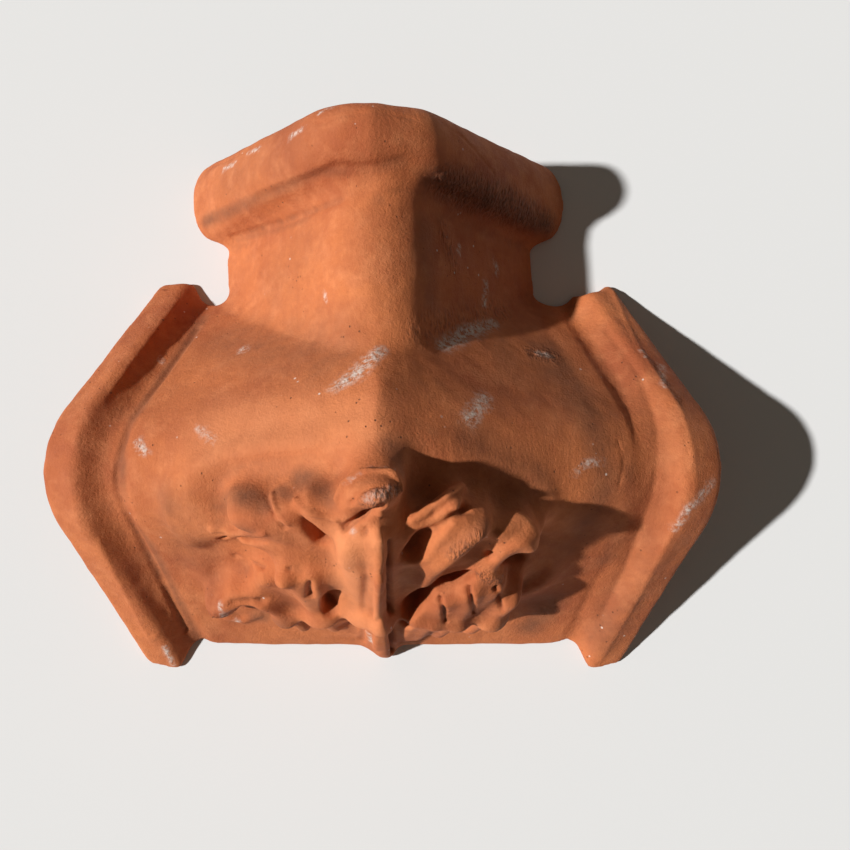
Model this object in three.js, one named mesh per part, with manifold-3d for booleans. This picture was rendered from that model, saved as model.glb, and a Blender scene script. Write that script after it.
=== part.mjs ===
// Three-way ridge junction tile in fired clay, open underneath.
// A level arm runs back along +Y, and two arms run down to the left and the right.
// Each arm ends in a moulded collar, and a leaf in high relief covers the front slope.
// Millimetres, +Z up, resting on the ground plane.

import * as THREE from 'three';
import { mergeVertices } from 'three/addons/utils/BufferGeometryUtils.js';
import Module from 'manifold-3d';

const wasm = await Module();
wasm.setup();

// Driving dimensions of the shell
const WALL = 15;
const SKIRT = 40;
const FRONT_REACH = 152;
const SIDE_BACK_REACH = 152;
const CENTRE_BACK_REACH = 225;
const BACK_FLARE = { end: 140, ease: 1.25 };
const CREST_TOP = 249;
const CREST_FALL = 0.5214;
const CREST_RADIUS = 60;
const NECK_REACH = 139;
const NECK_TOP = 175;
const NECK_RADIUS = 42;

// Driving dimensions of the collars: foot is the distance from the centre at ground level,
// lean the outward tilt of the section in degrees, and swell the height above the shell.
const SIDE_BODY_END = { foot: 148, lean: 16.5 };
const SIDE_COLLAR = [
  { foot: 148, lean: 16.5, swell: 0 },
  { foot: 149.5, lean: 16.8, swell: -2.4 },
  { foot: 156, lean: 18.4, swell: -2.4 },
  { foot: 161, lean: 19.6, swell: -0.4 },
  { foot: 165, lean: 20.6, swell: 3.8 },
  { foot: 168.5, lean: 21.2, swell: 9.6 },
  { foot: 171, lean: 21.7, swell: 13.4 },
  { foot: 174, lean: 22.2, swell: 14.8 },
  { foot: 177.5, lean: 22.7, swell: 14.4 },
  { foot: 198, lean: 25.2, swell: 10.8 },
  { foot: 202, lean: 25.7, swell: 8 },
];
const SIDE_SOCKET = { foot: 168, lean: 21, depth: 6 };
const BACK_ROLL = { innerFoot: 203, innerLean: 2.6, outerFoot: 275, outerLean: -6.3, edge: 9, rise: 15.5 };
const BACK_COVE = { foot: 190, lean: -1.3, depth: 2.2 };
const BACK_SOCKET = { foot: 236, lean: -2, depth: 8 };
const SOCKET_STEP = 1;
const BACK_DRIFT = -0.028;
const COLLAR_BACK_TRIM = 165;
const CHIP = { foot: 176, back: 166, height: 8, size: 19, turn: 20, stretch: [1.15, 0.7, 0.9] };

// Driving dimensions of the leaf. A station is set by its section of the side arm, at, left of
// the centre where it is negative, by the distance climbed along that section from the front
// foot, climb, by its height off the shell, lift, and by its half width, half.
const LEAF_ROOT_DEPTH = 8;
const LEFT_LOBES = [
  [[-39, 195, 16, 12], [-47, 207, 26, 14], [-61, 210, 32, 16], [-85, 198, 28, 17]],
  [[-30, 198, 16, 8], [-36, 214, 24, 9], [-43, 220, 29, 10], [-50, 221, 27, 10]],
  [[-19, 217, 22, 8], [-25, 226, 29, 10], [-31, 231, 33, 11], [-37, 232, 30, 12]],
  [[-28, 176, 18, 12], [-44, 190, 21, 15], [-60, 188, 19, 15], [-79, 180, 14, 11]],
  [[-58, 46, 10, 8], [-67, 87, 20, 10], [-82, 117, 28, 11], [-113, 84, 25, 11]],
  [[-36, 40, 6, 10], [-42, 88, 18, 10], [-44, 152, 30, 13], [-50, 178, 33, 13]],
  [[-38, 60, 10, 6], [-36, 115, 22, 7], [-34, 158, 30, 8], [-36, 178, 32, 8]],
];
const RIGHT_LOBES = [
  [[15, 194, 24, 8], [22, 220, 31, 7], [30, 228, 36, 6], [37, 231, 37, 6]],
  [[19, 131, 20, 12], [27, 192, 31, 13], [39, 212, 39, 12], [50, 215, 40, 11]],
  [[49, 143, 20, 11], [57, 189, 32, 12], [65, 201, 38, 12], [79, 185, 36, 10]],
  [[34, 130, 18, 9], [47, 160, 26, 10], [55, 173, 32, 9], [65, 159, 30, 8]],
  [[14, 33, 10, 8], [20, 91, 21, 10], [25, 133, 29, 10]],
  [[24, 34, 10, 9], [32, 103, 26, 12], [36, 153, 35, 13]],
  [[41, 36, 10, 9], [48, 116, 30, 13], [50, 162, 37, 13]],
  [[64, 36, 8, 9], [72, 98, 27, 13], [78, 130, 34, 13]],
  [[55, 98, 22, 10], [61, 140, 32, 12], [65, 155, 34, 11]],
];
const WEBS = [
  [[-20, 190, 14, 14], [-40, 205, 20, 22], [-66, 203, 20, 18]],
  [[-18, 140, 16, 12], [-32, 160, 18, 16], [-50, 168, 16, 14]],
  [[-30, 60, 8, 12], [-48, 120, 16, 18], [-72, 145, 20, 16]],
  [[20, 158, 16, 10], [36, 184, 22, 16], [58, 190, 24, 16]],
  [[24, 44, 8, 12], [38, 90, 18, 20], [60, 132, 24, 20]],
];
const LEAF_HEART = [
  [-3, -2, 5, 16], [-3, 40, 11, 18], [-4, 92, 18, 20], [-5, 140, 24, 23],
  [-5, 186, 29, 25], [-5, 216, 31, 25], [-3, 240, 27, 24], [0, 262, 12, 18],
];
const LEAF_MIDRIB = [
  [0, -6, 8, 12], [0, 30, 17, 9], [0, 92, 25, 6], [0, 186, 34, 5], [0, 236, 36, 5],
];
const LEAF_HOOD = [
  [-12, 228, 24, 8], [-13, 240, 33, 11], [-7, 249, 40, 12], [2, 253, 42, 13], [9, 245, 37, 10],
];
const LEAF_BACK = [
  [2, 277, -2, 10], [2, 269, 3, 14], [2, 260, 12, 16], [1, 250, 25, 16],
];

const ARC_STEPS = 10;
const LEG_STEPS = 4;
const LOBE_SIDES = 7;
const LOBE_LENGTHS = 6;
const LOBE_FULLNESS = 0.7;
const TIP_STEPS = [{ reach: 0.5, size: 0.86 }, { reach: 0.85, size: 0.55 }];
const SIDE_STEPS = 7;
const SIDE_HOLLOW_STEPS = 3;
const COVE_STEPS = 5;
const ROLL_STEPS = 10;
const MERGE_GAP = 1e-4;
const BLOCK = { width: 1200, height: 600 };

const degrees = THREE.MathUtils.degToRad;

// One upright section through an arm: two straight legs that meet in a rounded ridge.
// It gives points and outward normals in the plane, walking from the left foot over the ridge.
function ridgeSection({ leftReach, rightReach, top, radius }) {
  const leftSlope = Math.atan2(top, leftReach);
  const rightSlope = Math.atan2(top, rightReach);
  const halfAngle = (Math.PI - leftSlope - rightSlope) / 2;
  const leftLeg = Math.hypot(leftReach, top) - radius / Math.tan(halfAngle);
  const rightLeg = Math.hypot(rightReach, top) - radius / Math.tan(halfAngle);
  const startNormal = Math.PI / 2 + leftSlope;
  const turn = leftSlope + rightSlope;
  const tangent = new THREE.Vector2(
    -leftReach + leftLeg * Math.cos(leftSlope),
    leftLeg * Math.sin(leftSlope),
  );
  const centre = new THREE.Vector2(
    tangent.x - radius * Math.cos(startNormal),
    tangent.y - radius * Math.sin(startNormal),
  );
  const legs = { leftReach, rightReach, leftSlope, rightSlope, leftLeg, rightLeg };
  return { ...legs, startNormal, turn, centre, radius };
}

// The point of a section at a distance climbed from its left foot, raised along the normal.
function sectionPoint(section, climb, lift) {
  const past = Math.max(0, climb - section.leftLeg);
  const angle = section.startNormal - Math.min(past / section.radius, section.turn);
  const normal = new THREE.Vector2(Math.cos(angle), Math.sin(angle));
  if (past === 0) {
    const foot = new THREE.Vector2(-section.leftReach, 0);
    const along = new THREE.Vector2(Math.cos(section.leftSlope), Math.sin(section.leftSlope));
    return foot.addScaledVector(along, climb).addScaledVector(normal, lift);
  }
  return section.centre.clone().addScaledVector(normal, section.radius + lift);
}

// The whole outline of a section as a closed ring, its legs run on below the ground.
function sectionOutline(section, lift) {
  const points = [];
  const { leftSlope, rightSlope, leftLeg, rightLeg, startNormal, turn, centre, radius } = section;
  const leftNormal = new THREE.Vector2(Math.cos(startNormal), Math.sin(startNormal));
  const rightNormal = new THREE.Vector2(Math.cos(startNormal - turn), Math.sin(startNormal - turn));
  for (let i = 0; i < LEG_STEPS; i += 1) {
    const climb = -SKIRT + (leftLeg + SKIRT) * (i / LEG_STEPS);
    points.push(new THREE.Vector2(
      -section.leftReach + climb * Math.cos(leftSlope) + lift * leftNormal.x,
      climb * Math.sin(leftSlope) + lift * leftNormal.y,
    ));
  }
  for (let i = 0; i <= ARC_STEPS; i += 1) {
    const angle = startNormal - turn * (i / ARC_STEPS);
    points.push(new THREE.Vector2(
      centre.x + (radius + lift) * Math.cos(angle),
      centre.y + (radius + lift) * Math.sin(angle),
    ));
  }
  for (let i = LEG_STEPS - 1; i >= 0; i -= 1) {
    const climb = -SKIRT + (rightLeg + SKIRT) * (i / LEG_STEPS);
    points.push(new THREE.Vector2(
      section.rightReach - climb * Math.cos(rightSlope) + lift * rightNormal.x,
      climb * Math.sin(rightSlope) + lift * rightNormal.y,
    ));
  }
  return points;
}

// The section of a side arm whose foot is this far from the centre. Its ridge falls in a
// straight line, and its back leg flares out towards the centre, under the back arm.
function sideSection(foot, lean) {
  const tilt = degrees(lean);
  const top = (CREST_TOP - CREST_FALL * foot) / (Math.cos(tilt) + CREST_FALL * Math.sin(tilt));
  const flare = Math.max(0, 1 - foot / BACK_FLARE.end) ** BACK_FLARE.ease;
  const rightReach = SIDE_BACK_REACH + (CENTRE_BACK_REACH - SIDE_BACK_REACH) * flare;
  return ridgeSection({ leftReach: FRONT_REACH, rightReach, top, radius: CREST_RADIUS });
}

// The lean grows evenly from the centre to the inner edge of the collar.
function sideLean(foot) {
  return SIDE_BODY_END.lean * Math.min(foot / SIDE_BODY_END.foot, 1);
}

// From the plane of a side section to space: the section leans outward about its foot line.
function placeSide(foot, lean, point, side) {
  const tilt = degrees(lean);
  return new THREE.Vector3(side * (foot + point.y * Math.sin(tilt)), point.x, point.y * Math.cos(tilt));
}

function sideRing(foot, lean, swell, side) {
  return sectionOutline(sideSection(foot, lean), swell).map((point) => placeSide(foot, lean, point, side));
}

// The back arm has one section all along, and drifts a little to the left as it runs back.
const neckSection = ridgeSection({
  leftReach: NECK_REACH,
  rightReach: NECK_REACH,
  top: NECK_TOP,
  radius: NECK_RADIUS,
});

function backRing(foot, lean, swell) {
  const tilt = degrees(lean);
  return sectionOutline(neckSection, swell).map((point) => (
    new THREE.Vector3(
      point.x + BACK_DRIFT * foot,
      foot + point.y * Math.sin(tilt),
      point.y * Math.cos(tilt),
    )
  ));
}

// A closed geometry through a row of rings that have the same number of points.
function loft(rings) {
  const count = rings[0].length;
  const positions = rings.flat().flatMap((point) => [point.x, point.y, point.z]);
  const indices = [];
  for (let r = 0; r + 1 < rings.length; r += 1) {
    for (let i = 0; i < count; i += 1) {
      const j = (i + 1) % count;
      const a = r * count + i;
      const b = r * count + j;
      indices.push(a, b, b + count, a, b + count, a + count);
    }
  }
  const last = (rings.length - 1) * count;
  for (let i = 1; i + 1 < count; i += 1) {
    indices.push(0, i + 1, i);
    indices.push(last, last + i, last + i + 1);
  }
  const geometry = new THREE.BufferGeometry();
  geometry.setAttribute('position', new THREE.Float32BufferAttribute(positions, 3));
  geometry.setIndex(indices);
  return geometry;
}

// A geometry as a solid for the boolean steps, turned outward if it was built inside out.
function toSolid(geometry) {
  const bare = geometry.clone();
  bare.deleteAttribute('normal');
  bare.deleteAttribute('uv');
  const merged = mergeVertices(bare, MERGE_GAP);
  const positions = merged.getAttribute('position').array;
  const indices = Array.from(merged.getIndex().array);
  let volume = 0;
  const a = new THREE.Vector3();
  const b = new THREE.Vector3();
  const c = new THREE.Vector3();
  for (let i = 0; i < indices.length; i += 3) {
    a.fromArray(positions, indices[i] * 3);
    b.fromArray(positions, indices[i + 1] * 3);
    c.fromArray(positions, indices[i + 2] * 3);
    volume += a.dot(b.cross(c));
  }
  if (volume < 0) indices.reverse();
  return new wasm.Manifold(new wasm.Mesh({
    numProp: 3,
    vertProperties: new Float32Array(positions),
    triVerts: new Uint32Array(indices),
  }));
}

function toGeometry(solid) {
  const mesh = solid.getMesh();
  const geometry = new THREE.BufferGeometry();
  geometry.setAttribute('position', new THREE.Float32BufferAttribute(mesh.vertProperties, 3));
  geometry.setIndex(new THREE.Uint32BufferAttribute(mesh.triVerts, 1));
  return geometry;
}

// Outer form of one side arm, from the mitre at the centre to the end of its collar.
function sideArm(side) {
  const rings = [];
  for (let i = 0; i < SIDE_STEPS; i += 1) {
    const foot = SIDE_BODY_END.foot * (i / SIDE_STEPS);
    rings.push(sideRing(foot, sideLean(foot), 0, side));
  }
  for (const { foot, lean, swell } of SIDE_COLLAR) rings.push(sideRing(foot, lean, swell, side));
  return toSolid(loft(rings));
}

// Hollow of one side arm: a wall's thickness inside, with a shallow socket in the collar.
function sideHollow(side) {
  const rings = [];
  const end = SIDE_COLLAR[SIDE_COLLAR.length - 1];
  for (let i = 0; i <= SIDE_HOLLOW_STEPS; i += 1) {
    const foot = SIDE_BODY_END.foot * (i / SIDE_HOLLOW_STEPS);
    rings.push(sideRing(foot, sideLean(foot), -WALL, side));
  }
  const socket = SIDE_SOCKET;
  rings.push(sideRing(socket.foot, socket.lean, -WALL, side));
  rings.push(sideRing(socket.foot + SOCKET_STEP, socket.lean, socket.depth - WALL, side));
  rings.push(sideRing(end.foot + SKIRT, end.lean, socket.depth - WALL, side));
  return toSolid(loft(rings));
}

// Outer form of the back arm: the plain neck, a cove, and a large roll at the end.
function backArm() {
  const rings = [backRing(0, 0, 0), backRing(BACK_COVE.foot, BACK_COVE.lean, 0)];
  for (let i = 1; i < COVE_STEPS; i += 1) {
    const part = i / COVE_STEPS;
    const foot = THREE.MathUtils.lerp(BACK_COVE.foot, BACK_ROLL.innerFoot, part);
    const lean = THREE.MathUtils.lerp(BACK_COVE.lean, BACK_ROLL.innerLean, part);
    const hollow = BACK_COVE.depth * (1 - part);
    rings.push(backRing(foot, lean, BACK_ROLL.edge * part ** 3 - hollow));
  }
  for (let i = 0; i <= ROLL_STEPS; i += 1) {
    const turn = Math.PI * (i / ROLL_STEPS);
    const part = (1 - Math.cos(turn)) / 2;
    const foot = THREE.MathUtils.lerp(BACK_ROLL.innerFoot, BACK_ROLL.outerFoot, part);
    const lean = THREE.MathUtils.lerp(BACK_ROLL.innerLean, BACK_ROLL.outerLean, part);
    rings.push(backRing(foot, lean, BACK_ROLL.edge + BACK_ROLL.rise * Math.sin(turn)));
  }
  return toSolid(loft(rings));
}

function backHollow() {
  const { foot, lean, depth } = BACK_SOCKET;
  const { outerFoot, outerLean } = BACK_ROLL;
  return toSolid(loft([
    backRing(0, 0, -WALL),
    backRing(foot, lean, -WALL),
    backRing(foot + SOCKET_STEP, lean, depth - WALL),
    backRing(outerFoot + SKIRT, outerLean, depth - WALL),
  ]));
}

// A point over the front slope, on the left for a negative at.
function slopePoint(at, climb, lift) {
  const foot = Math.abs(at);
  const lean = sideLean(foot);
  const point = sectionPoint(sideSection(foot, lean), climb, lift);
  return placeSide(foot, lean, point, at < 0 ? -1 : 1);
}

// One rib of the leaf, rooted in the wall, on a smooth run through its stations. Over about its
// last half width it is drawn in to a blunt tip.
function lobe(stations) {
  const run = stations.map(([at, climb, lift]) => new THREE.Vector3(at, climb, lift));
  const places = new THREE.CatmullRomCurve3(run);
  const widths = new THREE.SplineCurve(stations.map(([, , , half], i) => new THREE.Vector2(i, half)));
  const tipReach = TIP_STEPS.at(-1).reach * stations.at(-1)[3];
  const beforeTip = 1 - tipReach / places.getLength();
  const frames = [];
  for (let i = 0; i <= LOBE_LENGTHS; i += 1) {
    const along = beforeTip * (i / LOBE_LENGTHS);
    const place = places.getPoint(along);
    const root = slopePoint(place.x, place.y, -LEAF_ROOT_DEPTH);
    const up = slopePoint(place.x, place.y, place.z).sub(root);
    frames.push({ root, up, half: widths.getPoint(along).y });
  }
  frames.forEach((frame, i) => {
    const next = frames[Math.min(i + 1, LOBE_LENGTHS)];
    const before = frames[Math.max(i - 1, 0)];
    frame.ahead = next.root.clone().sub(before.root).normalize();
  });
  const last = frames[LOBE_LENGTHS];
  for (const { reach, size } of TIP_STEPS) {
    const root = last.root.clone().addScaledVector(last.ahead, reach * last.half);
    const up = last.up.clone().multiplyScalar(size);
    frames.push({ root, up, half: last.half * size, ahead: last.ahead });
  }
  return toSolid(loft(frames.map(({ root, up, half, ahead }) => {
    const across = new THREE.Vector3().crossVectors(ahead, up).normalize();
    const ring = [];
    for (let k = 0; k <= LOBE_SIDES; k += 1) {
      const angle = Math.PI * (k / LOBE_SIDES);
      const point = root.clone().addScaledVector(across, half * Math.cos(angle));
      ring.push(point.addScaledVector(up, Math.sin(angle) ** LOBE_FULLNESS));
    }
    return ring;
  })));
}

function leaf() {
  const middle = [LEAF_HEART, LEAF_MIDRIB, LEAF_HOOD, LEAF_BACK];
  const parts = [...middle, ...WEBS, ...LEFT_LOBES, ...RIGHT_LOBES].map(lobe);
  return parts.reduce((whole, part) => whole.add(part));
}

// A large block that stands on the ground and ends at a given plane behind the centre.
function groundBlock(back) {
  const geometry = new THREE.BoxGeometry(BLOCK.width, BLOCK.width, BLOCK.height);
  geometry.translate(0, back - BLOCK.width / 2, BLOCK.height / 2);
  return toSolid(geometry);
}

// The bite that broke out of the right collar's back foot.
function chip() {
  const geometry = new THREE.IcosahedronGeometry(CHIP.size, 1);
  geometry.rotateZ(degrees(CHIP.turn));
  geometry.scale(...CHIP.stretch);
  geometry.translate(CHIP.foot, CHIP.back, CHIP.height);
  return toSolid(geometry);
}

// The whole tile: arms and leaf joined, hollowed from below, and cut flat on the ground.
function tileGeometry() {
  const overground = groundBlock(BLOCK.width / 2);
  const sides = sideArm(-1).add(sideArm(1)).intersect(groundBlock(COLLAR_BACK_TRIM)).subtract(chip());
  const outside = sides.add(backArm()).add(leaf());
  const hollow = sideHollow(-1).add(sideHollow(1)).add(backHollow());
  const tile = outside.subtract(hollow).intersect(overground);
  const geometry = toGeometry(tile);
  geometry.computeBoundingBox();
  const centre = geometry.boundingBox.getCenter(new THREE.Vector3());
  geometry.translate(-centre.x, -centre.y, -geometry.boundingBox.min.z);
  return geometry;
}

const terracotta = new THREE.MeshStandardMaterial({ color: 0xc47347, roughness: 0.85, metalness: 0 });

const tile = new THREE.Mesh(tileGeometry(), terracotta);
tile.name = 'ridge_junction_tile';

const object = new THREE.Group();
object.add(tile);

export default object;
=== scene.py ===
import math

import bmesh
import bpy
import numpy as np
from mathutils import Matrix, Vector, kdtree, noise
from mathutils.bvhtree import BVHTree


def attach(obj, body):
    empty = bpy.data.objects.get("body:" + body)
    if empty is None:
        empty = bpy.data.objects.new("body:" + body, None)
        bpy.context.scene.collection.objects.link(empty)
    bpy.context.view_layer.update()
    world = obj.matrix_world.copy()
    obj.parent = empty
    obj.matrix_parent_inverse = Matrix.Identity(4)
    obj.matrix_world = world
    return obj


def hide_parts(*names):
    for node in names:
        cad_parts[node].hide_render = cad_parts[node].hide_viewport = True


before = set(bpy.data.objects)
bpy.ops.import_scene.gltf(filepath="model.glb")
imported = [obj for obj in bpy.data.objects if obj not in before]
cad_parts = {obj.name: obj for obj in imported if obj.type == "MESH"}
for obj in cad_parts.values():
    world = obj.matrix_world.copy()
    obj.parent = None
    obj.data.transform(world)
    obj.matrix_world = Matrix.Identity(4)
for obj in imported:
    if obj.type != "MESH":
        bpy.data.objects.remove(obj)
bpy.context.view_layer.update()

# The camera looks almost straight down on the tile, from 70 cm above the floor. The marks of
# the maker's hands and of the weather are placed by what it sees, so it comes first.
FOCAL_PIXELS = 800
IMAGE_PIXELS = 850
AXIS_PIXELS = (400, 400)
lens = bpy.data.cameras.new("view")
lens.sensor_width = 36
lens.lens = FOCAL_PIXELS / IMAGE_PIXELS * lens.sensor_width
lens.shift_x = (IMAGE_PIXELS / 2 - AXIS_PIXELS[0]) / IMAGE_PIXELS
lens.shift_y = (AXIS_PIXELS[1] - IMAGE_PIXELS / 2) / IMAGE_PIXELS
camera = bpy.data.objects.new("view", lens)
camera.location = (0.013, -0.0618, 0.703)
camera.rotation_euler = (0.102, 0, 0)
bpy.context.scene.collection.objects.link(camera)
bpy.context.scene.camera = camera

# The tile is one wall of coarse red clay, pressed by hand into a mould in three arms that were
# joined wet and fired as one piece. The joined form is fused into one skin of clay, and the
# mason's thumbs have deepened and rounded the leaf on it.
COARSE_GRAIN = 0.0024
FINE_GRAIN = 0.0017
# Points that lie closer than this are one point.
SEAM = 0.00002
MM_IN_METRE = 1000
RUB_STRENGTH = 0.7
# A line of sight that misses the tile looks for the nearest clay at this distance.
MISSED_DISTANCE = 0.6

pressed = bmesh.new()
pressed.from_mesh(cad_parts["ridge_junction_tile"].data)
bmesh.ops.remove_doubles(pressed, verts=pressed.verts, dist=SEAM)
clay_mesh = bpy.data.meshes.new("fired_clay_tile")
pressed.to_mesh(clay_mesh)
pressed.free()
tile = bpy.data.objects.new("fired_clay_tile", clay_mesh)
bpy.context.scene.collection.objects.link(tile)


def fuse(piece, grain, sponge_passes):
    """Joins a piece into one skin of even faces, sponged smooth, and gives its mesh."""
    skin = piece.modifiers.new("fuse", "REMESH")
    skin.mode = "VOXEL"
    skin.voxel_size = grain
    sponge = piece.modifiers.new("sponge", "SMOOTH")
    sponge.factor = 0.5
    sponge.iterations = sponge_passes
    return settle(piece)


def settle(piece):
    """Works the modifiers of a piece into a mesh of its own."""
    bpy.context.view_layer.update()
    worked = piece.evaluated_get(bpy.context.evaluated_depsgraph_get())
    mesh = bpy.data.meshes.new_from_object(worked)
    piece.modifiers.clear()
    piece.data = mesh
    return mesh


def between(first, last, share):
    """A value part of the way from one to another."""
    return first + (last - first) * share


class Skin:
    """The points, edges and normals of a mesh as arrays, for work with the fingers.

    The work follows strokes. A stroke is a row of places in the picture, each with a half width in
    millimetres and a value.
    """

    # Where a place of a stroke holds its half width and its value.
    HALF = 2
    VALUE = 3

    def __init__(self, mesh):
        self.mesh = mesh
        flat = np.empty(len(mesh.vertices) * 3)
        mesh.vertices.foreach_get("co", flat)
        self.points = flat.reshape(-1, 3)
        ends = np.empty(len(mesh.edges) * 2, int)
        mesh.edges.foreach_get("vertices", ends)
        self.edges = ends.reshape(-1, 2)
        self.links = np.bincount(ends, minlength=len(self.points))
        flat = np.empty(len(mesh.vertices) * 3)
        mesh.vertex_normals.foreach_get("vector", flat)
        self.normals = flat.reshape(-1, 3)
        faces = [face.vertices[:] for face in mesh.polygons]
        self.sight = BVHTree.FromPolygons(self.points.tolist(), faces)

    def averaged(self, values):
        """The mean of each point's neighbours."""
        columns = []
        for column in values.T:
            total = np.bincount(self.edges[:, 0], column[self.edges[:, 1]], len(values))
            total += np.bincount(self.edges[:, 1], column[self.edges[:, 0]], len(values))
            columns.append(total / self.links)
        return np.stack(columns, axis=1)

    def rubbed(self, values, passes, strength=0.5):
        """Values evened out over the skin."""
        for _ in range(passes):
            values = values + (self.averaged(values) - values) * strength
        return values

    def seen(self, x, y):
        """The point of the skin that shows at a place in the picture, or the nearest to it."""
        across = (x - AXIS_PIXELS[0]) / FOCAL_PIXELS
        up = (AXIS_PIXELS[1] - y) / FOCAL_PIXELS
        ray = camera.rotation_euler.to_matrix() @ Vector((across, up, -1))
        hit = self.sight.ray_cast(camera.location, ray.normalized())[0]
        if hit is None:
            hit = self.sight.find_nearest(camera.location + ray * MISSED_DISTANCE)[0]
        return np.array(hit)

    def reach(self, stroke):
        """How near each point is to a stroke, 1 on its line and 0 past its width, and its value."""
        near = np.zeros(len(self.points))
        value = np.zeros(len(self.points))
        places = [self.seen(x, y) for x, y, _, _ in stroke]
        for start, end, first, last in zip(places, places[1:], stroke, stroke[1:]):
            width = max(first[self.HALF], last[self.HALF]) / MM_IN_METRE
            inside = np.all(self.points > np.minimum(start, end) - width, axis=1)
            inside &= np.all(self.points < np.maximum(start, end) + width, axis=1)
            chosen = np.nonzero(inside)[0]
            run = end - start
            share = np.clip((self.points[chosen] - start) @ run / (run @ run), 0, 1)
            gap = np.linalg.norm(self.points[chosen] - start - share[:, None] * run, axis=1)
            half = between(first[self.HALF], last[self.HALF], share) / MM_IN_METRE
            fall = np.clip(1 - (gap / half) ** 2, 0, 1) ** 2
            better = fall > near[chosen]
            near[chosen[better]] = fall[better]
            value[chosen[better]] = between(first[self.VALUE], last[self.VALUE], share)[better]
        return near, value

    def covered(self, strokes):
        """How strongly a set of strokes covers each point."""
        return np.max([np.prod(self.reach(stroke), axis=0) for stroke in strokes], axis=0)

    def push(self, strokes, passes):
        """Moves the skin in by each stroke's value in millimetres, or out where it is negative."""
        broad = self.rubbed(self.normals, passes)
        broad /= np.linalg.norm(broad, axis=1)[:, None]
        move = np.zeros(len(self.points))
        for stroke in strokes:
            near, value = self.reach(stroke)
            move -= near * value / MM_IN_METRE
        self.points = self.points + broad * move[:, None]

    def soften(self, strokes, passes):
        """Rubs the skin smooth under the strokes."""
        strength = self.covered(strokes)[:, None] * RUB_STRENGTH
        self.points = self.rubbed(self.points, passes, strength)

    def waver(self, height, scale):
        """The unevenness of handwork, its waves given for each metre."""
        waves = np.array([noise.noise(Vector(point) * scale) for point in self.points])
        self.points = self.points + self.normals * (waves * height)[:, None]

    def tear(self, strokes, height, scale):
        """Roughens the skin under the strokes, as broken or dragged clay."""
        cover = self.covered(strokes)
        chosen = np.nonzero(cover)[0]
        ticks = np.array([noise.noise(Vector(self.points[index]) * scale) for index in chosen])
        self.points[chosen] += self.normals[chosen] * (ticks * cover[chosen] * height)[:, None]

    def store(self):
        """Gives the mesh the worked points."""
        self.mesh.vertices.foreach_set("co", self.points.ravel())
        self.mesh.update()


# The leaf is an acanthus in high relief, on a midrib with a folded hood. Clay is pressed into the
# narrow gaps between its lobes, and its eyes are hollowed out again by thumb. A stroke's value is
# its depth in millimetres, and a negative depth is clay laid on.
LEAF_FIELD = [
    [(225, 520, 60, 1), (300, 520, 66, 1), (380, 500, 66, 1), (450, 520, 66, 1), (530, 545, 60, 1)],
    [(240, 605, 60, 1), (320, 600, 66, 1), (390, 590, 66, 1), (450, 595, 66, 1), (520, 600, 60, 1)],
]
FIELD_EDGE = 4
WEB_GAP = 0.009
# The cheek left of the midrib, the tip of an upper right lobe, the lip of a lower left lobe, the
# joint between two left lobes, and the first finger on the right.
LEAF_SWELLS = [
    [(347, 548, 14, -5), (345, 560, 12, -4)],
    [(500, 532, 9, -4), (518, 520, 9, -5), (534, 532, 8, -4)],
    [(222, 602, 7, -2), (228, 617, 7, -3), (244, 620, 7, -3), (258, 615, 6, -2)],
    [(254, 582, 10, -3), (284, 582, 10, -5)],
    [(414, 521, 5, -3), (430, 510, 6, -6), (448, 498, 6, -6), (462, 488, 5, -4)],
]
# The right collar's cove runs into the slope without the groove of the left one.
RIGHT_COVE = [
    [
        (600, 330, 8, -3), (633, 380, 8, -4), (643, 430, 8, -3), (641, 477, 8, -2),
        (633, 510, 8, -3), (613, 563, 8, -4), (588, 615, 8, -4),
    ],
]
# The eyes of the left lobes, then those of the right lobes.
LEAF_HOLLOWS = [
    [(294, 512, 4, 3), (308, 526, 6, 9), (322, 540, 7, 14)],
    [(331, 594, 8, 14), (331, 612, 8, 15)],
    [(232, 606, 7, 7), (246, 606, 8, 11), (262, 603, 6, 6)],
    [(310, 584, 3, 7), (310, 598, 3, 9)],
    [(412, 558, 9, 16), (425, 541, 9, 19), (440, 529, 8, 18), (454, 517, 6, 16), (467, 507, 5, 10)],
    [(405, 625, 7, 13), (412, 606, 8, 17), (428, 591, 8, 19), (452, 581, 6, 14), (472, 575, 4, 9)],
    [(490, 556, 5, 8), (510, 557, 6, 10), (522, 558, 5, 6)],
]
# Where a wet finger has smoothed the leaf, the ridge of the back arm and the right cove.
LEAF_RUBBED = [
    [(378, 516, 9, 1), (380, 570, 9, 1)],
    [(250, 585, 14, 1), (280, 600, 14, 1), (310, 622, 12, 1)],
    [(346, 600, 10, 1), (348, 634, 10, 1)],
]
RIDGE_RUBBED = [
    [(404, 185, 34, 1), (408, 262, 34, 1), (410, 330, 30, 1)],
    [(404, 115, 26, 1), (406, 160, 26, 1)],
    [
        (600, 330, 9, 0.6), (633, 380, 9, 0.6), (645, 430, 9, 0.6), (643, 477, 9, 0.6),
        (633, 510, 9, 0.6), (613, 563, 9, 0.6), (588, 615, 9, 0.6),
    ],
]


def over_leaf(worked):
    """How fully each point of a skin lies in the field of the leaf."""
    cover = np.max([worked.reach(stroke)[0] for stroke in LEAF_FIELD], axis=0)
    return np.clip(cover * FIELD_EDGE, 0, 1)[:, None]


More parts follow.
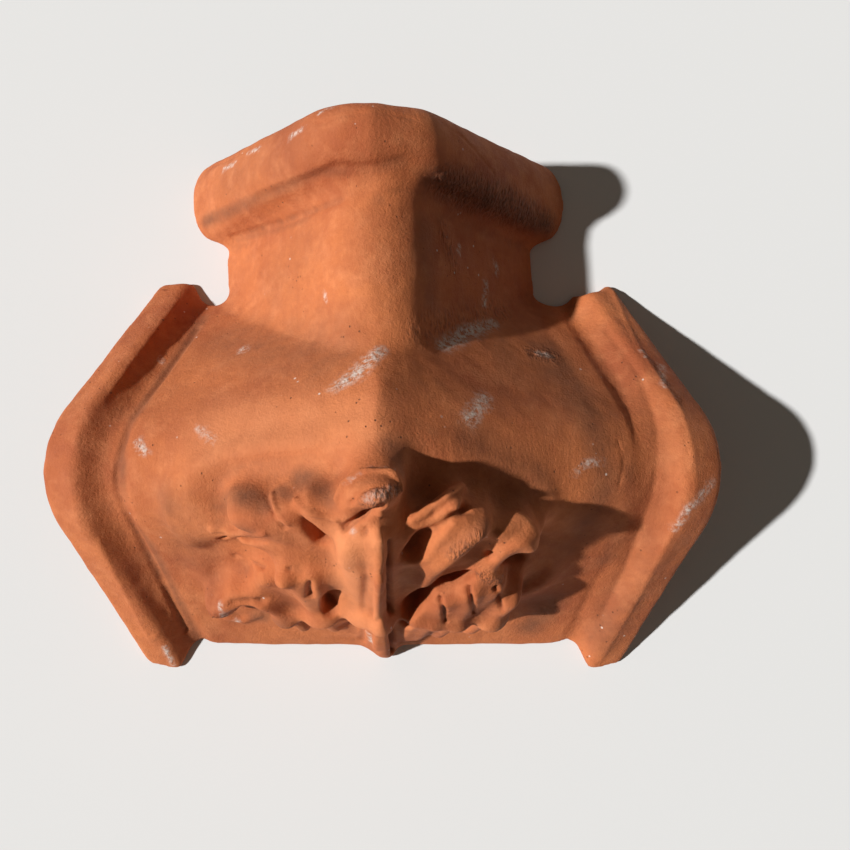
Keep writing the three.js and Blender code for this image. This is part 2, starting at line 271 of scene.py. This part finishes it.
leaf_skin = Skin(fuse(tile, COARSE_GRAIN, sponge_passes=3))
leaf_skin.points = leaf_skin.points + leaf_skin.normals * over_leaf(leaf_skin) * WEB_GAP
leaf_skin.store()
leaf_skin = Skin(fuse(tile, COARSE_GRAIN, sponge_passes=1))
leaf_skin.points = leaf_skin.points - leaf_skin.normals * over_leaf(leaf_skin) * WEB_GAP
leaf_skin.store()
leaf_skin = Skin(fuse(tile, COARSE_GRAIN, sponge_passes=1))
leaf_skin.push(LEAF_SWELLS + RIGHT_COVE, passes=30)
leaf_skin.soften(LEAF_RUBBED, passes=16)
leaf_skin.soften(RIDGE_RUBBED, passes=120)
leaf_skin.push(LEAF_HOLLOWS, passes=30)
leaf_skin.store()

# The veins were cut with a modelling tool: beside the midrib, round the hood, across the lower
# right lobes and along the left ones.
LEAF_GROOVES = [
    [(390, 542, 2.5, 4), (389, 570, 3, 6), (390, 600, 3.5, 7), (392, 640, 4, 8), (393, 652, 4, 6)],
    [(366, 530, 4, 2), (366, 580, 4, 2), (362, 640, 5, 2)],
    [(343, 529, 4, 6), (362, 517, 4, 9), (382, 507, 4, 9)],
    [(350, 503, 3, 2.5), (364, 490, 3, 2.5), (384, 486, 3, 2)],
    [(440, 598, 3, 4), (444, 610, 3, 5), (446, 622, 2, 3)],
    [(468, 588, 3, 5), (472, 600, 3, 5), (474, 614, 2, 3)],
    [(496, 588, 3, 4), (500, 600, 3, 4), (502, 612, 2, 2)],
    [(222, 539, 4, 5), (240, 541, 4, 7), (264, 541, 3, 5)],
    [(234, 556, 3, 2), (262, 567, 3, 3), (290, 569, 3, 2)],
    [(268, 494, 3, 1.5), (273, 512, 3, 2.5), (284, 527, 3, 2)],
]
# The raised lines are the midrib's crest, the hood's rim and the edges of the upper lobes.
LEAF_RIDGES = [
    [(380, 512, 4, -3), (379, 540, 4, -4), (379, 580, 4, -4), (378, 610, 4, -3), (377, 646, 6, -3)],
    [(337, 500, 3, -3), (346, 484, 3, -4), (362, 472, 3, -4), (391, 474, 3, -4), (399, 490, 3, -3)],
    [(296, 500, 3, -3), (309, 513, 3, -3), (337, 520, 3, -3)],
    [(271, 494, 3, -2), (276, 508, 3, -3), (288, 523, 3, -2)],
    [(212, 530, 4, -2), (236, 533, 4, -3), (264, 533, 4, -2)],
    [(412, 519, 4, -3), (428, 511, 4, -4), (446, 499, 4, -4), (461, 488, 4, -3)],
]
# The joints between the arms were wiped round with a wet finger.
WIPED_JOINTS = [
    [(330, 440, 18, 1), (372, 448, 22, 1), (410, 448, 18, 1)],
    [(226, 300, 14, 1), (300, 322, 14, 1), (385, 337, 16, 1), (470, 322, 14, 1), (545, 302, 14, 1)],
    [(385, 345, 9, 0.8), (385, 440, 9, 0.8)],
]
# The collars were drawn out with a wooden profile, which left fine lines in their coves and
# crisp crests.
DRAWN_LINES = [
    [
        (198, 328, 5, 1.5), (162, 380, 5, 2), (125, 440, 5, 2), (117, 480, 5, 2),
        (131, 520, 5, 2), (151, 560, 5, 2), (172, 600, 5, 2), (186, 630, 5, 1.5),
    ],
    [(618, 440, 2, 0.6), (624, 462, 2, 0.6), (619, 484, 2, 0.6)],
    [
        (606, 330, 4, 0.7), (640, 376, 4, 0.7), (657, 425, 4, 0.7), (656, 480, 4, 0.7),
        (646, 515, 4, 0.7), (626, 566, 4, 0.7), (601, 618, 4, 0.7),
    ],
    [
        (613, 292, 4, -0.7), (640, 350, 4, -0.7), (680, 410, 4, -0.7), (693, 457, 4, -0.7),
        (670, 537, 4, -0.7), (643, 590, 4, -0.7), (600, 660, 4, -0.7),
    ],
    [
        (178, 300, 4, -0.7), (118, 380, 4, -0.7), (76, 440, 4, -0.7),
        (100, 545, 4, -0.7), (150, 640, 4, -0.7), (165, 665, 4, -0.7),
    ],
    [
        (208, 169, 3, 0.9), (323, 123, 3, 0.9), (359, 113, 3, 0.9),
        (410, 118, 3, 0.9), (461, 136, 3, 0.9), (547, 164, 3, 0.9),
    ],
    [(232, 238, 5, 1.2), (277, 224, 5, 1.4), (336, 203, 5, 1.4), (400, 191, 5, 1), (470, 198, 5, 0.8)],
    [(198, 227, 6, 1.5), (262, 196, 6, 1.5), (336, 166, 6, 1.5), (403, 160, 6, 1.1), (470, 170, 6, 0.8)],
]
# Where the clay was dragged by a dry tool, or has broken away.
TORN = [
    [(562, 300, 8, 1), (575, 292, 8, 1), (586, 286, 7, 1)],
    [(442, 180, 18, 1), (470, 192, 24, 1), (520, 208, 22, 1), (552, 224, 16, 0.8)],
    [(445, 232, 14, 0.7), (455, 268, 12, 0.5)],
    [(366, 500, 9, 1), (384, 494, 9, 1), (398, 490, 6, 1)],
    [(455, 555, 10, 0.8), (480, 540, 10, 0.8)],
    [(480, 574, 9, 0.8), (503, 578, 9, 0.8)],
    [(562, 300, 14, 1), (583, 290, 14, 1)],
    [(204, 652, 9, 0.8), (190, 668, 9, 1)],
    [(420, 332, 20, 0.5), (500, 312, 20, 0.5)],
]
skin = Skin(fuse(tile, FINE_GRAIN, sponge_passes=3))
skin.soften(WIPED_JOINTS, passes=120)
skin.push(LEAF_GROOVES + LEAF_RIDGES + DRAWN_LINES, passes=10)
skin.waver(height=0.0009, scale=22)
skin.waver(height=0.00035, scale=90)
skin.tear(TORN, height=0.0008, scale=260)
skin.points[:, 2] = np.maximum(skin.points[:, 2], 0)

# How far each point lies below its rubbed-down surroundings, in millimetres.
calm = skin.rubbed(skin.points, passes=40)
hollow = ((calm - skin.points) * skin.normals).sum(axis=1) * MM_IN_METRE
skin.store()

# What the weather left on it, with painted light and shade: soot and algae where water stands, and
# painted shade over the right side, the back slopes and the collars' coves; a painted highlight on the
# lit left ridge and the leaf's cheek; scuffs and splashes of lime, and a painted highlight along the
# hood's rim. A stroke's value is the mark's strength.
# Soot on the leaf's upper lobes and below its lower left lobes; the strokes over the right side, the
# body's back slopes and the collars' coves are painted shade.
GRIME_AND_SHADE = [
    [(222, 505, 14, 0.8), (245, 496, 16, 1), (266, 505, 10, 0.8)],
    [(280, 490, 10, 1), (290, 497, 8, 0.6)],
    [(300, 478, 14, 0.9), (320, 488, 14, 0.9), (332, 503, 8, 0.6)],
    [(392, 447, 14, 0.8), (402, 470, 10, 0.6)],
    [(258, 618, 14, 0.9), (285, 625, 14, 0.8)],
    [(205, 222, 9, 0.8), (262, 197, 9, 0.7), (320, 172, 8, 0.6), (400, 162, 8, 0.5)],
    [(236, 240, 6, 0.5), (300, 222, 6, 0.5), (380, 200, 6, 0.4)],
    [(230, 340, 50, 0.6), (330, 355, 50, 0.6)],
    [
        (204, 318, 10, 0.8), (140, 410, 10, 0.9), (122, 470, 10, 0.9),
        (150, 545, 10, 0.8), (198, 640, 9, 0.7),
    ],
    [(600, 400, 12, 0.5), (628, 470, 12, 0.6), (606, 560, 12, 0.5)],
    [(436, 180, 24, 0.9), (500, 205, 26, 1), (548, 228, 20, 1)],
    [(545, 350, 34, 0.7), (596, 430, 24, 0.8), (604, 480, 22, 0.7), (574, 545, 22, 0.6)],
    [(530, 626, 20, 0.9), (552, 604, 20, 0.8), (546, 650, 14, 0.6)],
    [(164, 500, 26, 0.6), (190, 560, 26, 0.5)],
    [(425, 230, 18, 0.5), (430, 300, 18, 0.5)],
    [(470, 440, 26, 0.5), (540, 480, 26, 0.5), (500, 500, 30, 0.5)],
    [(590, 320, 24, 0.3), (664, 440, 28, 0.4), (640, 560, 28, 0.4), (600, 640, 28, 0.8)],
    [(180, 510, 30, 0.4), (210, 590, 30, 0.4)],
    [(222, 524, 12, 0.5), (246, 530, 12, 0.5)],
    [(450, 547, 12, 0.5), (482, 526, 10, 0.5)],
    [(226, 180, 34, 0.3), (300, 146, 34, 0.3)],
    [(280, 290, 50, 0.3), (300, 250, 50, 0.2)],
]
# Painted highlight where the key light falls full on: the left ridge of the body, the leaf's cheek and
# the left side of the midrib.
PAINTED_HIGHLIGHT = [
    [(222, 430, 50, 0.6), (300, 425, 50, 0.5), (360, 420, 34, 0.5)],
    [(345, 545, 26, 0.8), (352, 620, 22, 0.5)],
    [(372, 540, 12, 0.5), (372, 630, 12, 0.5)],
]
LIME_AND_RIM_HIGHLIGHT = [
    [(338, 386, 9, 1), (358, 372, 14, 1), (380, 350, 9, 1)],
    [(444, 346, 10, 1), (468, 333, 11, 1), (494, 324, 8, 0.9)],
    [(470, 418, 10, 1), (486, 397, 8, 0.8)],
    [(496, 262, 4, 1), (498, 274, 4, 1)],
    [(487, 282, 4, 1), (484, 304, 5, 1)],
    [(459, 248, 3, 1), (459, 254, 3, 1)],
    [(325, 297, 3, 1), (325, 300, 2, 1)],
    [(224, 169, 3, 1), (235, 163, 3, 1)],
    [(290, 137, 3, 0.9), (304, 129, 3, 0.9)],
    [(248, 154, 3, 1), (260, 148, 3, 1)],
    [(320, 114, 3, 1), (331, 108, 3, 1)],
    [(368, 101, 3, 1), (375, 102, 3, 1)],
    [(138, 440, 4, 1), (144, 452, 5, 1)],
    [(160, 358, 3, 1), (162, 362, 3, 1)],
    [(165, 648, 4, 0.9), (173, 664, 4, 0.9)],
    [(212, 293, 6, 0.9), (219, 302, 5, 0.8)],
    [(569, 294, 5, 0.9), (583, 290, 5, 0.8)],
    [(674, 530, 4, 0.8), (690, 508, 6, 0.9), (712, 482, 5, 0.7)],
    [(576, 474, 3, 0.9), (588, 463, 4, 0.9), (601, 460, 3, 0.8)],
    [(642, 352, 4, 0.9), (645, 357, 4, 0.9)],
    [(662, 366, 4, 0.6), (672, 368, 4, 0.6)],
    [(368, 498, 6, 0.45), (384, 493, 6, 0.45), (396, 490, 4, 0.4)],
    # Painted highlight along the hood's rim.
    [(338, 493, 3, 0.9), (350, 481, 3, 1), (364, 471, 3, 1), (392, 472, 3, 0.8)],
    [(343, 527, 3, 1), (353, 531, 3, 0.8)],
    [(220, 604, 4, 0.9), (224, 616, 4, 0.9), (237, 622, 4, 0.8)],
    [(368, 633, 4, 1), (372, 642, 4, 1)],
    [(198, 428, 4, 0.6), (213, 441, 4, 0.6)],
]

# The finished skin is thinned where it is plain, and keeps its points where it is worked. Each
# of its faces has four sides and counts as two triangles.
THINNED_TO = 185000
thin = tile.modifiers.new("thin", "DECIMATE")
thin.ratio = min(1, THINNED_TO / (len(tile.data.polygons) * 2))
thinned = settle(tile)
for face in thinned.polygons:
    face.use_smooth = True

tree = kdtree.KDTree(len(skin.points))
for index, point in enumerate(skin.points):
    tree.insert(point, index)
tree.balance()
nearest = [tree.find(vertex.co)[1] for vertex in thinned.vertices]


def keep(name, values):
    """Stores a value of the fine skin on the points of the thinned one."""
    layer = thinned.attributes.new(name, "FLOAT", "POINT")
    layer.data.foreach_set("value", values[nearest].astype(np.float32))


keep("hollow", hollow)
keep("grime_and_shade", skin.covered(GRIME_AND_SHADE))
keep("lime_and_rim_highlight", skin.covered(LIME_AND_RIM_HIGHLIGHT))
keep("painted_highlight", skin.covered(PAINTED_HIGHLIGHT))
keep("torn", skin.covered(TORN))

# Terracotta, fired to a warm orange. It is matt, mottled with browner clouds, with painted shade in its
# coves and hollows, and speckled with small pits and lime.
terracotta = bpy.data.materials.new("terracotta")
terracotta.use_nodes = True
nodes = terracotta.node_tree.nodes
links = terracotta.node_tree.links
surface = nodes["Principled BSDF"]
surface.inputs["Specular IOR Level"].default_value = 0.25
place = nodes.new("ShaderNodeTexCoord").outputs["Object"]


def cloud(scale, detail, roughness):
    """Soft noise through the clay, its scale in clouds for each metre."""
    texture = nodes.new("ShaderNodeTexNoise")
    texture.inputs["Scale"].default_value = scale
    texture.inputs["Detail"].default_value = detail
    texture.inputs["Roughness"].default_value = roughness
    links.new(place, texture.inputs["Vector"])
    return texture.outputs["Fac"]


def span(value, low, high, to_low=0.0, to_high=1.0):
    """A value stretched from one span to another, and held at its ends."""
    node = nodes.new("ShaderNodeMapRange")
    for name, number in (("From Min", low), ("From Max", high), ("To Min", to_low), ("To Max", to_high)):
        node.inputs[name].default_value = number
    links.new(value, node.inputs["Value"])
    return node.outputs["Result"]


# The mix node has several sockets of each name, so its colour sockets go by number.
FIRST_COLOUR = 6
SECOND_COLOUR = 7
MIXED_COLOUR = 2


def blended(share, first, second):
    """A colour laid over another one by a share."""
    node = nodes.new("ShaderNodeMix")
    node.data_type = "RGBA"
    links.new(share, node.inputs["Factor"])
    for value, socket in ((first, node.inputs[FIRST_COLOUR]), (second, node.inputs[SECOND_COLOUR])):
        if isinstance(value, tuple):
            socket.default_value = (*value, 1)
        else:
            links.new(value, socket)
    return node.outputs[MIXED_COLOUR]


def mark(name):
    """A value that the fine skin carries."""
    node = nodes.new("ShaderNodeAttribute")
    node.attribute_name = name
    return node.outputs["Fac"]


def combined(way, first, second):
    """Two values worked into one."""
    node = nodes.new("ShaderNodeMath")
    node.operation = way
    for value, socket in ((first, node.inputs[0]), (second, node.inputs[1])):
        if isinstance(value, (int, float)):
            socket.default_value = value
        else:
            links.new(value, socket)
    return node.outputs[0]


def specks(scale, size):
    """Round specks strewn through the clay, their size as a share of their spacing."""
    texture = nodes.new("ShaderNodeTexVoronoi")
    texture.inputs["Scale"].default_value = scale
    links.new(place, texture.inputs["Vector"])
    return span(texture.outputs["Distance"], low=size * 0.6, high=size, to_low=1, to_high=0)


def stroked(scale, stretch):
    """Noise drawn out along the arms, as a wooden tool leaves it."""
    mapping = nodes.new("ShaderNodeMapping")
    mapping.inputs["Scale"].default_value = stretch
    links.new(place, mapping.inputs["Vector"])
    texture = nodes.new("ShaderNodeTexNoise")
    texture.inputs["Scale"].default_value = scale
    texture.inputs["Detail"].default_value = 3
    links.new(mapping.outputs["Vector"], texture.inputs["Vector"])
    return texture.outputs["Fac"]


ORANGE = (0.60, 0.185, 0.062)
RED_BROWN = (0.38, 0.096, 0.034)
PALE = (0.76, 0.28, 0.115)
SOOT_AND_SHADE = (0.16, 0.062, 0.032)
LIME_AND_HIGHLIGHT_WHITE = (0.72, 0.60, 0.52)
DRAG_GRAIN = 330
DRAG_STRETCH = (1.5, 0.55, 1.1)

browner = span(cloud(scale=9, detail=5, roughness=0.6), low=0.38, high=0.66)
colour = blended(browner, ORANGE, RED_BROWN)
paler = span(cloud(scale=38, detail=4, roughness=0.65), low=0.48, high=0.78, to_high=0.55)
colour = blended(paler, colour, PALE)
mottled = span(cloud(scale=160, detail=3, roughness=0.6), low=0.3, high=0.7, to_high=0.35)
colour = blended(mottled, colour, RED_BROWN)
# Painted highlight on the lit left ridge and the leaf's cheek.
colour = blended(combined("MULTIPLY", mark("painted_highlight"), 0.8), colour, PALE)

patchy = span(cloud(scale=60, detail=5, roughness=0.7), low=0.25, high=0.7, to_low=0.4, to_high=0.95)
# Soot, with painted shade over the right side and in the coves.
soiled_and_shaded = combined("MULTIPLY", mark("grime_and_shade"), patchy)
# Painted shade in the hollows, darker where the skin lies deeper below its surroundings.
sunken = span(mark("hollow"), low=0.1, high=1.6, to_high=0.55)
uneven = span(cloud(scale=80, detail=4, roughness=0.6), low=0.2, high=0.7)
painted_cove_shade = combined("MULTIPLY", sunken, uneven)
colour = blended(combined("MAXIMUM", soiled_and_shaded, painted_cove_shade), colour, SOOT_AND_SHADE)
# Painted shade: dark ticks over the torn clay, which deepen the shaded cove on the right of the back
# collar.
torn_shade_ticks = span(stroked(DRAG_GRAIN, DRAG_STRETCH), low=0.5, high=0.6, to_high=0.75)
colour = blended(combined("MULTIPLY", mark("torn"), torn_shade_ticks), colour, SOOT_AND_SHADE)
pitted_part = span(cloud(scale=25, detail=2, roughness=0.5), low=0.52, high=0.64)
pits = combined("MULTIPLY", specks(scale=150, size=0.12), pitted_part)
colour = blended(combined("MULTIPLY", pits, 0.8), colour, SOOT_AND_SHADE)

broken_up = span(cloud(scale=260, detail=5, roughness=0.75), low=0.41, high=0.60)
# Lime scuffs, with a painted highlight along the hood's rim.
lime_and_rim_highlight_marks = combined("MULTIPLY", mark("lime_and_rim_highlight"), broken_up)
dusted_part = span(cloud(scale=12, detail=2, roughness=0.5), low=0.54, high=0.6, to_high=0.8)
dusted = combined("MULTIPLY", specks(scale=75, size=0.09), dusted_part)
colour = blended(combined("MAXIMUM", lime_and_rim_highlight_marks, dusted), colour, LIME_AND_HIGHLIGHT_WHITE)
links.new(colour, surface.inputs["Base Color"])
dullness = span(cloud(scale=50, detail=3, roughness=0.6), low=0.3, high=0.7, to_low=0.72, to_high=0.9)
links.new(dullness, surface.inputs["Roughness"])


def bumped(height, distance, below=None):
    """A relief in metres, on top of another one."""
    node = nodes.new("ShaderNodeBump")
    node.inputs["Strength"].default_value = 1
    node.inputs["Distance"].default_value = distance
    links.new(height, node.inputs["Height"])
    if below:
        links.new(below, node.inputs["Normal"])
    return node.outputs["Normal"]


sanded = bumped(cloud(scale=420, detail=6, roughness=0.72), distance=0.0009)
waved = bumped(stroked(scale=90, stretch=(1.6, 0.5, 1.2)), distance=0.0005, below=sanded)
torn = combined("MULTIPLY", mark("torn"), stroked(DRAG_GRAIN, DRAG_STRETCH))
dragged = bumped(torn, distance=0.0045, below=waved)
pitted = bumped(combined("MULTIPLY", pits, -1), distance=0.0007, below=dragged)
limed = bumped(lime_and_rim_highlight_marks, distance=0.0004, below=pitted)
links.new(limed, surface.inputs["Normal"])

tile.data.materials.clear()
tile.data.materials.append(terracotta)
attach(tile, "root")
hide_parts("ridge_junction_tile")

# A plain pale floor, 12 m square.
FLOOR_HALF = 6
ground = bmesh.new()
bmesh.ops.create_grid(ground, x_segments=1, y_segments=1, size=FLOOR_HALF)
floor_mesh = bpy.data.meshes.new("floor")
ground.to_mesh(floor_mesh)
ground.free()
floor = bpy.data.objects.new("floor", floor_mesh)
bpy.context.scene.collection.objects.link(floor)
pale = bpy.data.materials.new("pale_floor")
pale.use_nodes = True
floor_surface = pale.node_tree.nodes["Principled BSDF"]
floor_surface.inputs["Base Color"].default_value = (0.72, 0.72, 0.71, 1)
floor_surface.inputs["Roughness"].default_value = 0.9
floor_mesh.materials.append(pale)

# One soft key light from the left, slightly from the front, and a dim even fill. A post in this
# light casts a shadow 1.17 times its height.
SHADOW_RUN = 1.17
KEY_TURN = math.radians(6)
TO_KEY = Vector((-SHADOW_RUN * math.cos(KEY_TURN), -SHADOW_RUN * math.sin(KEY_TURN), 1))
key_light = bpy.data.lights.new("key", "SUN")
key_light.energy = 4.9
key_light.angle = math.radians(2)
key = bpy.data.objects.new("key", key_light)
key.rotation_euler = TO_KEY.to_track_quat("Z", "Y").to_euler()
bpy.context.scene.collection.objects.link(key)
world = bpy.data.worlds.new("studio")
world.use_nodes = True
fill = world.node_tree.nodes["Background"]
fill.inputs["Color"].default_value = (1, 0.88, 0.74, 1)
fill.inputs["Strength"].default_value = 0.085
bpy.context.scene.world = world
bpy.context.scene.view_settings.view_transform = "Standard"
